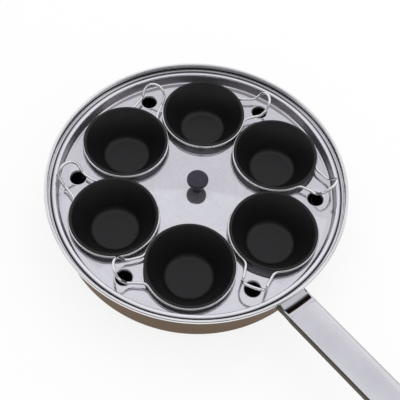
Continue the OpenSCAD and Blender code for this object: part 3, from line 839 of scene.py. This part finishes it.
class POACHER_OT_eyelet(PoacherOperator, bpy.types.Operator):
    """Turn the eyelet of the hanging hole, with its rolled ends"""
    bl_idname = "poacher.eyelet"
    bl_label = "Eyelet"

    def execute(self, context):
        h, f = context.scene.handle_sizes, context.scene.finishes
        low, high, half = -h.depth - h.eyelet_proud, h.eyelet_proud, h.eyelet / 2
        r = half - 0.05 * MM
        section = run(arc((h.hole + half, low + r), half, 180, 360, 12),
                      arc((h.hole + half, high - r), half, 0, 180, 12))
        section[:, 1] = np.clip(section[:, 1], low, high)
        place = (h.grip_length - h.hole_inset, 0, 0)
        points, faces, marks = revolve(section, turns=96, centre=place)
        steel = polished_steel("eyelet steel", f.steel, 0.14)
        piece("hang_eyelet_form", [(along_grip(points), faces, marks)], [steel], "pan",
              ["hang_eyelet"])
        return {"FINISHED"}


class POACHER_OT_tray(PoacherOperator, bpy.types.Operator):
    """Form the tray: flange, sunk mirror floor, cup holes and steam holes with rounded entries"""
    bl_idname = "poacher.tray"
    bl_label = "Tray"

    def execute(self, context):
        p, t, c = context.scene.pan_sizes, context.scene.tray_sizes, context.scene.cup_sizes
        f = context.scene.finishes
        sheet, floor = t.sheet, tray_floor()
        ledge = p.height - p.ledge_drop
        wall_in = pan_wall()
        tray_out = wall_in - t.gap
        tray_in = tray_out - sheet
        bend = (tray_in - t.flare - t.bend, floor + t.bend)
        over = (tray_out + t.flange_bend, ledge - t.flange_bend)
        edge = (wall_in + t.flange_seat - sheet / 2, ledge + sheet / 2)
        lean = np.degrees(atan2(t.flare, over[1] - bend[1]))
        section = run(arc(bend, t.bend, 270, 360 - lean, 10),
                      arc(over, t.flange_bend + sheet, 180 - lean, 90, 10),
                      arc(edge, sheet / 2, 90, -90, 12), arc(over, t.flange_bend, 90, 180 - lean, 10),
                      arc(bend, t.bend + sheet, 360 - lean, 270, 10))
        shells = [revolve(section, closed=False)]
        hole = cup_seat(c) + c.gap
        lip = t.steam_lip + sheet
        rounding = 0.2 * MM
        cup_edge = run(arc((hole + rounding, -rounding), rounding, 90, 180, 4),
                       arc((hole + rounding, rounding - sheet), rounding, 180, 270, 4))
        steam_edge = run(arc((t.steam + lip, -lip), lip, 90, 180, 10), (t.steam, -lip - t.steam_neck),
                         (t.steam + sheet, -lip - t.steam_neck),
                         arc((t.steam + lip, -lip), t.steam_lip, 180, 90, 8))
        holes = []
        for i in range(CUPS):
            cup, _ = cup_place(i)
            steam = steam_place(i)
            shells.append(revolve(cup_edge, HOLE_TURNS, cup, closed=False))
            shells.append(revolve(steam_edge, STEAM_TURNS, steam, closed=False))
            holes.append(circle(cup, hole + rounding, HOLE_TURNS))
            holes.append(circle(steam, t.steam + lip, STEAM_TURNS))
        screw_edge = run((t.screw_hole, 0), (t.screw_hole, -sheet))
        shells.append(revolve(screw_edge, SCREW_TURNS, (0, 0, floor), closed=False))
        holes.append(circle((0, 0), t.screw_hole, SCREW_TURNS))
        outer = circle((0, 0), bend[0], TURNS)
        shells.append(fill_between(outer, holes, floor))
        shells.append(fill_between(outer, holes, floor - sheet))
        # Painted shade: the tray's wall is darkened by height for its dark reflections and shade. By
        # radius the floor is painted a little darker than the flange, which is a painted reflection,
        # and the flange's outer edge is painted near black as a painted shadow of the gap by the pan's
        # wall
        low, high, wall = (floor + t.bend) / MM, ledge / MM, 0.55
        painted_shade = ((low - 1.2, 1), (low - 0.2, wall), (high - 1, wall), (high + 0.5, 1))
        flange, rim = tray_out / MM, (wall_in + t.flange_seat) / MM
        rings = ((flange - 0.5, 0.8), (flange + 0.3, 1), (rim - 1, 1), (rim - 0.7, 0.03))
        mirror = polished_steel("tray steel", f.tray, f.mirror * 0.8, wave=0.35, lines=0.12,
                                streak=0.06, painted_shade=painted_shade, dull=0.3, shade_by_radius=rings, haze=0.11)
        piece("insert_tray_form", shells, [mirror], "tray", ["insert_tray"])
        return {"FINISHED"}


class POACHER_OT_knob(PoacherOperator, bpy.types.Operator):
    """Turn the knob with its domed head, waist and foot, and finish what fixes it"""
    bl_idname = "poacher.knob"
    bl_label = "Knob"

    def execute(self, context):
        k, f = context.scene.knob_sizes, context.scene.finishes
        stem = k.height - k.head
        waist = ((stem / 2) ** 2 + k.waist ** 2) / (2 * k.waist)
        half = np.degrees(np.arcsin(stem / 2 / waist))
        reach = k.radius - k.edge
        dome = (reach ** 2 + k.dome ** 2) / (2 * k.dome)
        cap = np.degrees(np.arcsin(reach / dome))
        section = run((k.bore, 0),
                      arc((k.foot + waist - k.waist, stem / 2), waist, 180 + half, 180 - half, 24),
                      arc((reach, stem + k.edge), k.edge, -90, 0, 8),
                      arc((reach, k.height - k.edge), k.edge, 0, 90, 8),
                      arc((0, k.height + k.dome - dome), dome, 90 - cap, 90, 16),
                      (0, k.bore_depth), (k.bore, k.bore_depth))
        finish = phenolic("dark phenolic", f.knob)
        piece("knob_form", [revolve(section, turns=160, centre=(0, 0, tray_floor()))], [finish],
              "tray", ["knob"])
        finish_node("knob_insert", turned_metal("insert brass", f.brass, 0.3, 0.0005))
        finish_node("knob_screw", turned_metal("screw steel", f.steel, 0.25, 0.0006))
        finish_node("knob_washer", turned_metal("washer steel", f.steel, 0.35, 0.0009))
        return {"FINISHED"}


def cup_section(sizes):
    """The cup's section, up its inside, around the edge of its lip and down its outside."""
    lean, sheet = sizes.lean, sizes.sheet
    lip = np.array([sizes.rim - sizes.lip, sizes.rise - sizes.lip_bend - sheet])
    inward, down = np.array([-cos(lean), sin(lean)]), np.array([-sin(lean), -cos(lean)])
    top = lip + (sizes.lip_bend + sheet) * inward
    floor = sizes.rise - sizes.depth
    wall = (top[1] + sizes.floor_bend * inward[1] - floor - sizes.floor_bend) / cos(lean)
    foot = top + wall * down + sizes.floor_bend * inward
    edge = (sizes.rim - sheet / 2, sizes.rise - sheet / 2)
    slope = np.degrees(lean)
    return run((0, floor), arc(foot, sizes.floor_bend, 270, 360 - slope, 14),
               arc(lip, sizes.lip_bend + sheet, 180 - slope, 90, 10),
               arc(edge, sheet / 2, 90, -90, LIP_STEPS),
               arc(lip, sizes.lip_bend, 90, 180 - slope, 8),
               arc(foot, sizes.floor_bend + sheet, 360 - slope, 270, 14), (0, floor - sheet))


def cup_seat(sizes):
    """Outer radius of a cup's wall where it passes the tray's floor."""
    back = np.array([sizes.rim - sizes.lip, sizes.rise - sizes.lip_bend - sizes.sheet])
    back = back + sizes.lip_bend * np.array([-cos(sizes.lean), sin(sizes.lean)])
    return back[0] - back[1] * tan(sizes.lean)


class POACHER_OT_cups(PoacherOperator, bpy.types.Operator):
    """Turn the six cups, black inside and dark grey outside"""
    bl_idname = "poacher.cups"
    bl_label = "Cups"

    def execute(self, context):
        f, section = context.scene.finishes, cup_section(context.scene.cup_sizes)
        inside = nonstick("black non-stick", f.cup)
        outside = coat("grey anodised", f.anodised, 1400, roughness=0.3, metallic=0.9)
        under_lip = np.argmax(section[:, 0]) + LIP_STEPS // 2 + 1
        marks = (np.arange(len(section)) >= under_lip).astype(int)
        for i in range(CUPS):
            centre, _ = cup_place(i)
            name = f"cup_{i + 1}"
            cup = revolve(section, turns=192, centre=centre, finish=marks)
            piece(name + "_form", [cup], [inside, outside], "egg_" + name, [name])
        return {"FINISHED"}


def holder_line(sizes, ring):
    """The wire's centre line in one flat sheet, before its loop is bent upwards.

    From the butt joint it follows the ring to the first leg, turns out along it, turns parallel,
    goes around the loop's end and comes back the same way to the other side of the joint."""
    n = np.array([sin(sizes.lean), cos(sizes.lean)])
    way = np.array([cos(sizes.lean), -sin(sizes.lean)])
    turn_in = ring + sizes.reach
    waist = np.array([turn_in - sizes.waist_bend * sin(sizes.lean),
                      sizes.loop + sizes.waist_bend * (1 - cos(sizes.lean))])
    out = waist @ n + sizes.root_bend
    root = out * n + sqrt((ring + sizes.root_bend) ** 2 - out ** 2) * way
    root_angle, lean = np.degrees(atan2(root[1], root[0])), np.degrees(sizes.lean)
    rise_length = sizes.rise_bend * sizes.rise
    round_x = turn_in + rise_length + sizes.straight
    leg = run(arc(root, sizes.root_bend, 180 + root_angle, 270 - lean, 14),
              arc((turn_in, sizes.loop + sizes.waist_bend), sizes.waist_bend, 270 - lean, 270, 8),
              np.stack([turn_in + rise_length * np.linspace(0, 1, 13)[1:], np.full(12, sizes.loop)], 1))
    loop_end = arc((round_x, 0), sizes.loop, 90, -90, 40)
    gap = np.degrees(sizes.joint / 2 / ring)
    joint = 360 - np.degrees(sizes.joint_turn)
    far = arc((0, 0), ring, joint - gap, root_angle, 180)
    near = arc((0, 0), ring, 360 - root_angle, joint + gap, 60)
    other = leg[::-1] * [1, -1]
    return run(far[:-1], leg, loop_end, other, near[1:]), turn_in


def bend_up(line, turn_in, sizes, height):
    """Bends the flat line upwards past turn_in, first on an arc and then straight.

    It gives the line's points and the bent sheet's normal at each of them."""
    past = line[:, 0] - turn_in
    phi = np.clip(past / sizes.rise_bend, 0, sizes.rise)
    beyond = np.maximum(past - sizes.rise_bend * sizes.rise, 0)
    x = np.minimum(line[:, 0], turn_in) + sizes.rise_bend * np.sin(phi) + beyond * np.cos(phi)
    z = height + sizes.rise_bend * (1 - np.cos(phi)) + beyond * np.sin(phi)
    points = np.stack([x, line[:, 1], z], axis=1)
    normal = np.stack([-np.sin(phi), 0 * phi, np.cos(phi)], axis=1)
    return points, normal


def wire_tube(points, normal, radius, sides=20):
    """A round wire along a line: a circle across each point, and a flat chamfered end at both ends.

    The circle lies between the sheet's normal and its cross product with the line's direction."""
    step = np.gradient(points, axis=0)
    tangent = step / np.linalg.norm(step, axis=1, keepdims=True)
    sideways = np.cross(normal, tangent)
    sideways /= np.linalg.norm(sideways, axis=1, keepdims=True)
    upwards = np.cross(tangent, sideways)
    chamfer = 0.12 * radius
    first, last = points[:1], points[-1:]
    centres = np.concatenate([first, first, first + chamfer * tangent[:1], points[2:-2],
                              last - chamfer * tangent[-1:], last, last])
    keep = np.concatenate([[0, 0, 0], np.arange(2, len(points) - 2), [-1, -1, -1]])
    radii = np.full(len(centres), radius)
    radii[[0, -1]], radii[[1, -2]] = 0, radius - chamfer
    a = np.linspace(0, 2 * pi, sides, endpoint=False)
    ring = (np.cos(a)[None, :, None] * sideways[keep][:, None] +
            np.sin(a)[None, :, None] * upwards[keep][:, None])
    surface = centres[:, None] + radii[:, None, None] * ring
    travel = np.concatenate([[0], np.cumsum(np.linalg.norm(np.diff(centres, axis=0), axis=1))])
    along = np.repeat(travel, sides)
    around = np.tile(np.minimum(a, 2 * pi - a), len(centres))
    return surface.reshape(-1, 3), grid_faces(len(centres), sides, False, True), along, around


class POACHER_OT_wire_holders(PoacherOperator, bpy.types.Operator):
    """Bend the six wire holders, each a ring that runs out into an upturned loop"""
    bl_idname = "poacher.wire_holders"
    bl_label = "Wire holders"

    def execute(self, context):
        w, c = context.scene.wire_sizes, context.scene.cup_sizes
        ring = c.rim - w.ring_inset
        height = c.rise - c.sheet - w.ring_gap - w.radius
        line, turn_in = holder_line(w, ring)
        points, normal = bend_up(line, turn_in, w, height)
        surface, faces, along, around = wire_tube(points, normal, w.radius)
        finish = drawn_wire("bright wire", context.scene.finishes.wire)
        for i in range(CUPS):
            centre, outward = cup_place(i)
            turn = np.array(Matrix.Rotation(outward + w.turns[i], 3, "Z"))
            placed = surface @ turn.T + centre
            piece(f"cup_handle_{i + 1}_wire", [(placed, faces, np.zeros(len(faces)))], [finish],
                  f"egg_cup_{i + 1}", [f"cup_handle_{i + 1}"],
                  attributes={"along": along, "around": around})
        return {"FINISHED"}


class POACHER_OT_stage(PoacherOperator, bpy.types.Operator):
    """Set the pale floor, the soft lamps, the world and the camera at the photograph's angle"""
    bl_idname = "poacher.stage"
    bl_label = "Stage"

    def execute(self, context):
        scene, s = context.scene, context.scene.studio_settings
        scene.view_settings.view_transform = "Standard"
        ahead = Vector((-sin(s.azimuth) * cos(s.elevation), cos(s.azimuth) * cos(s.elevation),
                        -sin(s.elevation)))
        right = Vector((cos(s.azimuth), sin(s.azimuth), 0))
        up = right.cross(ahead)
        side = right * cos(s.roll) + up * sin(s.roll)
        top = up * cos(s.roll) - right * sin(s.roll)
        turn = Matrix((side, top, -ahead)).transposed()
        lens = bpy.data.cameras.new("camera")
        lens.lens, lens.sensor_width, lens.clip_start = s.lens, 36.0, 0.01
        camera = bpy.data.objects.new("camera", lens)
        camera.matrix_world = Matrix.Translation(Vector(s.target) - ahead * s.distance) @ turn.to_4x4()
        scene.collection.objects.link(camera)
        scene.camera = camera
        floor_sheet(context)
        studio_world(scene, s, ahead)
        lamp("overhead softbox", s.key, 1.6, (-0.25, 0.2, 1.5))
        lamp("side softbox", s.fill, 1.2, (1.1, 0.8, 1.0))
        return {"FINISHED"}


def mirrored(tree, path):
    """1 for a ray that a surface mirrors or lets through, and 0 for any other ray."""
    return maths(tree, "MAXIMUM", path.outputs["Is Glossy Ray"], path.outputs["Is Transmission Ray"])


def floor_sheet(context):
    """The floor: white to the camera and in the steel, with the object's own soft shadow on it."""
    reach, level, glow = 4.0, -0.2 * MM, 0.85
    mesh = bpy.data.meshes.new("floor")
    corners = [(-reach, -reach), (reach, -reach), (reach, reach), (-reach, reach)]
    mesh.from_pydata([(x, y, level) for x, y in corners], [], [(0, 1, 2, 3)])
    material = bpy.data.materials.new("pale floor")
    material.use_nodes = True
    tree = material.node_tree
    tree.nodes.clear()
    matt = add(tree, "ShaderNodeBsdfDiffuse", {"Color": (0.95, 0.95, 0.95, 1)})
    bright = add(tree, "ShaderNodeEmission", {"Color": (1, 1, 1, 1), "Strength": 1.0})
    path = add(tree, "ShaderNodeLightPath")
    seen = maths(tree, "MAXIMUM", path.outputs["Is Camera Ray"], mirrored(tree, path))
    share = maths(tree, "MULTIPLY", seen, glow)
    mix = add(tree, "ShaderNodeMixShader", {0: share, 1: matt.outputs[0], 2: bright.outputs[0]})
    add(tree, "ShaderNodeOutputMaterial", {"Surface": mix.outputs[0]})
    mesh.materials.append(material)
    floor = bpy.data.objects.new("floor", mesh)
    context.scene.collection.objects.link(floor)


def studio_world(scene, s, ahead):
    """The world: white behind the object, even light on matt surfaces, and a studio for the steel.

    A direction's height runs from 0 at the horizon to 1 overhead. Its depth is 1 straight ahead of the
    camera and -1 straight behind it. In the steel the world is white along the horizon. Above that it
    is pale, white and pale again at the back, and grey and then dark at the front and the sides. At
    the top the sides are bright and the part behind the camera is a dark grey."""
    world = bpy.data.worlds.new("studio")
    scene.world = world
    world.use_nodes = True
    tree = world.node_tree
    tree.nodes.clear()
    way = add(tree, "ShaderNodeTexCoord").outputs["Generated"]
    height = add(tree, "ShaderNodeSeparateXYZ", {0: way}).outputs[2]
    back = Vector((ahead.x, ahead.y, 0)).normalized()
    depth = add(tree, "ShaderNodeVectorMath", {0: way, 1: tuple(back)}, operation="DOT_PRODUCT")
    depth = depth.outputs["Value"]

    def stack(start, stop, below, above):
        """One colour below a height and another above it, blended from start to stop."""
        return blend(tree, between(tree, height, 0, 1, start, stop), below, above)

    upper = stack(-ahead.z - 0.004, -ahead.z + 0.012, s.backdrop, s.ceiling)
    behind = stack(0.69, 0.74, stack(0.42, 0.46, s.lower, s.horizon), upper)
    beside = stack(0.5, 0.6, s.dark, s.side)
    before = stack(0.72, 0.84, s.dark, s.front)
    facing = maths(tree, "MULTIPLY", between(tree, depth, 1, 0, -0.38, -0.16),
                   between(tree, height, 1, 0, 0.9, 0.95))
    around = stack(0.36, 0.46, s.fore, blend(tree, facing, beside, before))
    view = stack(0.12, 0.25, s.horizon,
                 blend(tree, between(tree, depth, 0, 1, 0.15, 0.45), around, behind))
    steel = add(tree, "ShaderNodeBackground", {"Color": view, "Strength": 1.0})
    matt = add(tree, "ShaderNodeBackground", {"Color": (1, 1, 1, 1), "Strength": s.sky})
    white = add(tree, "ShaderNodeBackground", {"Color": (1, 1, 1, 1), "Strength": 1.0})
    path = add(tree, "ShaderNodeLightPath")
    first = add(tree, "ShaderNodeMixShader", {0: mirrored(tree, path), 1: matt.outputs[0],
                                              2: steel.outputs[0]})
    last = add(tree, "ShaderNodeMixShader", {0: path.outputs["Is Camera Ray"], 1: first.outputs[0],
                                             2: white.outputs[0]})
    add(tree, "ShaderNodeOutputWorld", {"Surface": last.outputs[0]})


def lamp(name, power, size, place):
    """A square softbox that faces the pan."""
    light = bpy.data.lights.new(name, "AREA")
    light.energy, light.size = power, size
    obj = bpy.data.objects.new(name, light)
    obj.visible_glossy = False
    obj.location = place
    obj.rotation_euler = (-Vector(place)).to_track_quat("-Z", "Y").to_euler()
    bpy.context.scene.collection.objects.link(obj)


OPERATORS = (POACHER_OT_pan_body, POACHER_OT_base, POACHER_OT_neck, POACHER_OT_grip, POACHER_OT_eyelet,
             POACHER_OT_tray, POACHER_OT_knob, POACHER_OT_cups, POACHER_OT_wire_holders,
             POACHER_OT_stage)
GROUPS = {"pan_sizes": PanSizes, "handle_sizes": HandleSizes, "tray_sizes": TraySizes,
          "knob_sizes": KnobSizes, "cup_sizes": CupSizes, "wire_sizes": WireSizes,
          "finishes": Finishes, "studio_settings": StudioSettings}


class POACHER_PT_panel(bpy.types.Panel):
    """Lists the pieces of the pan and their sizes"""
    bl_idname = "POACHER_PT_panel"
    bl_label = "Poacher Pan"
    bl_space_type = "VIEW_3D"
    bl_region_type = "UI"
    bl_category = "Poacher Pan"

    def draw(self, context):
        for operator in OPERATORS:
            self.layout.operator(operator.bl_idname)
        for name, group in GROUPS.items():
            box = self.layout.box()
            box.label(text=group.__doc__)
            for key in group.__annotations__:
                box.prop(getattr(context.scene, name), key)


def register():
    for group in (*GROUPS.values(), *OPERATORS, POACHER_PT_panel):
        bpy.utils.register_class(group)
    for name, group in GROUPS.items():
        setattr(bpy.types.Scene, name, bpy.props.PointerProperty(type=group))


def unregister():
    for name in GROUPS:
        delattr(bpy.types.Scene, name)
    for group in reversed((*GROUPS.values(), *OPERATORS, POACHER_PT_panel)):
        bpy.utils.unregister_class(group)


def main():
    register()
    for operator in OPERATORS:
        group, name = operator.bl_idname.split(".")
        getattr(getattr(bpy.ops, group), name)()


if __name__ == "__main__":
    main()
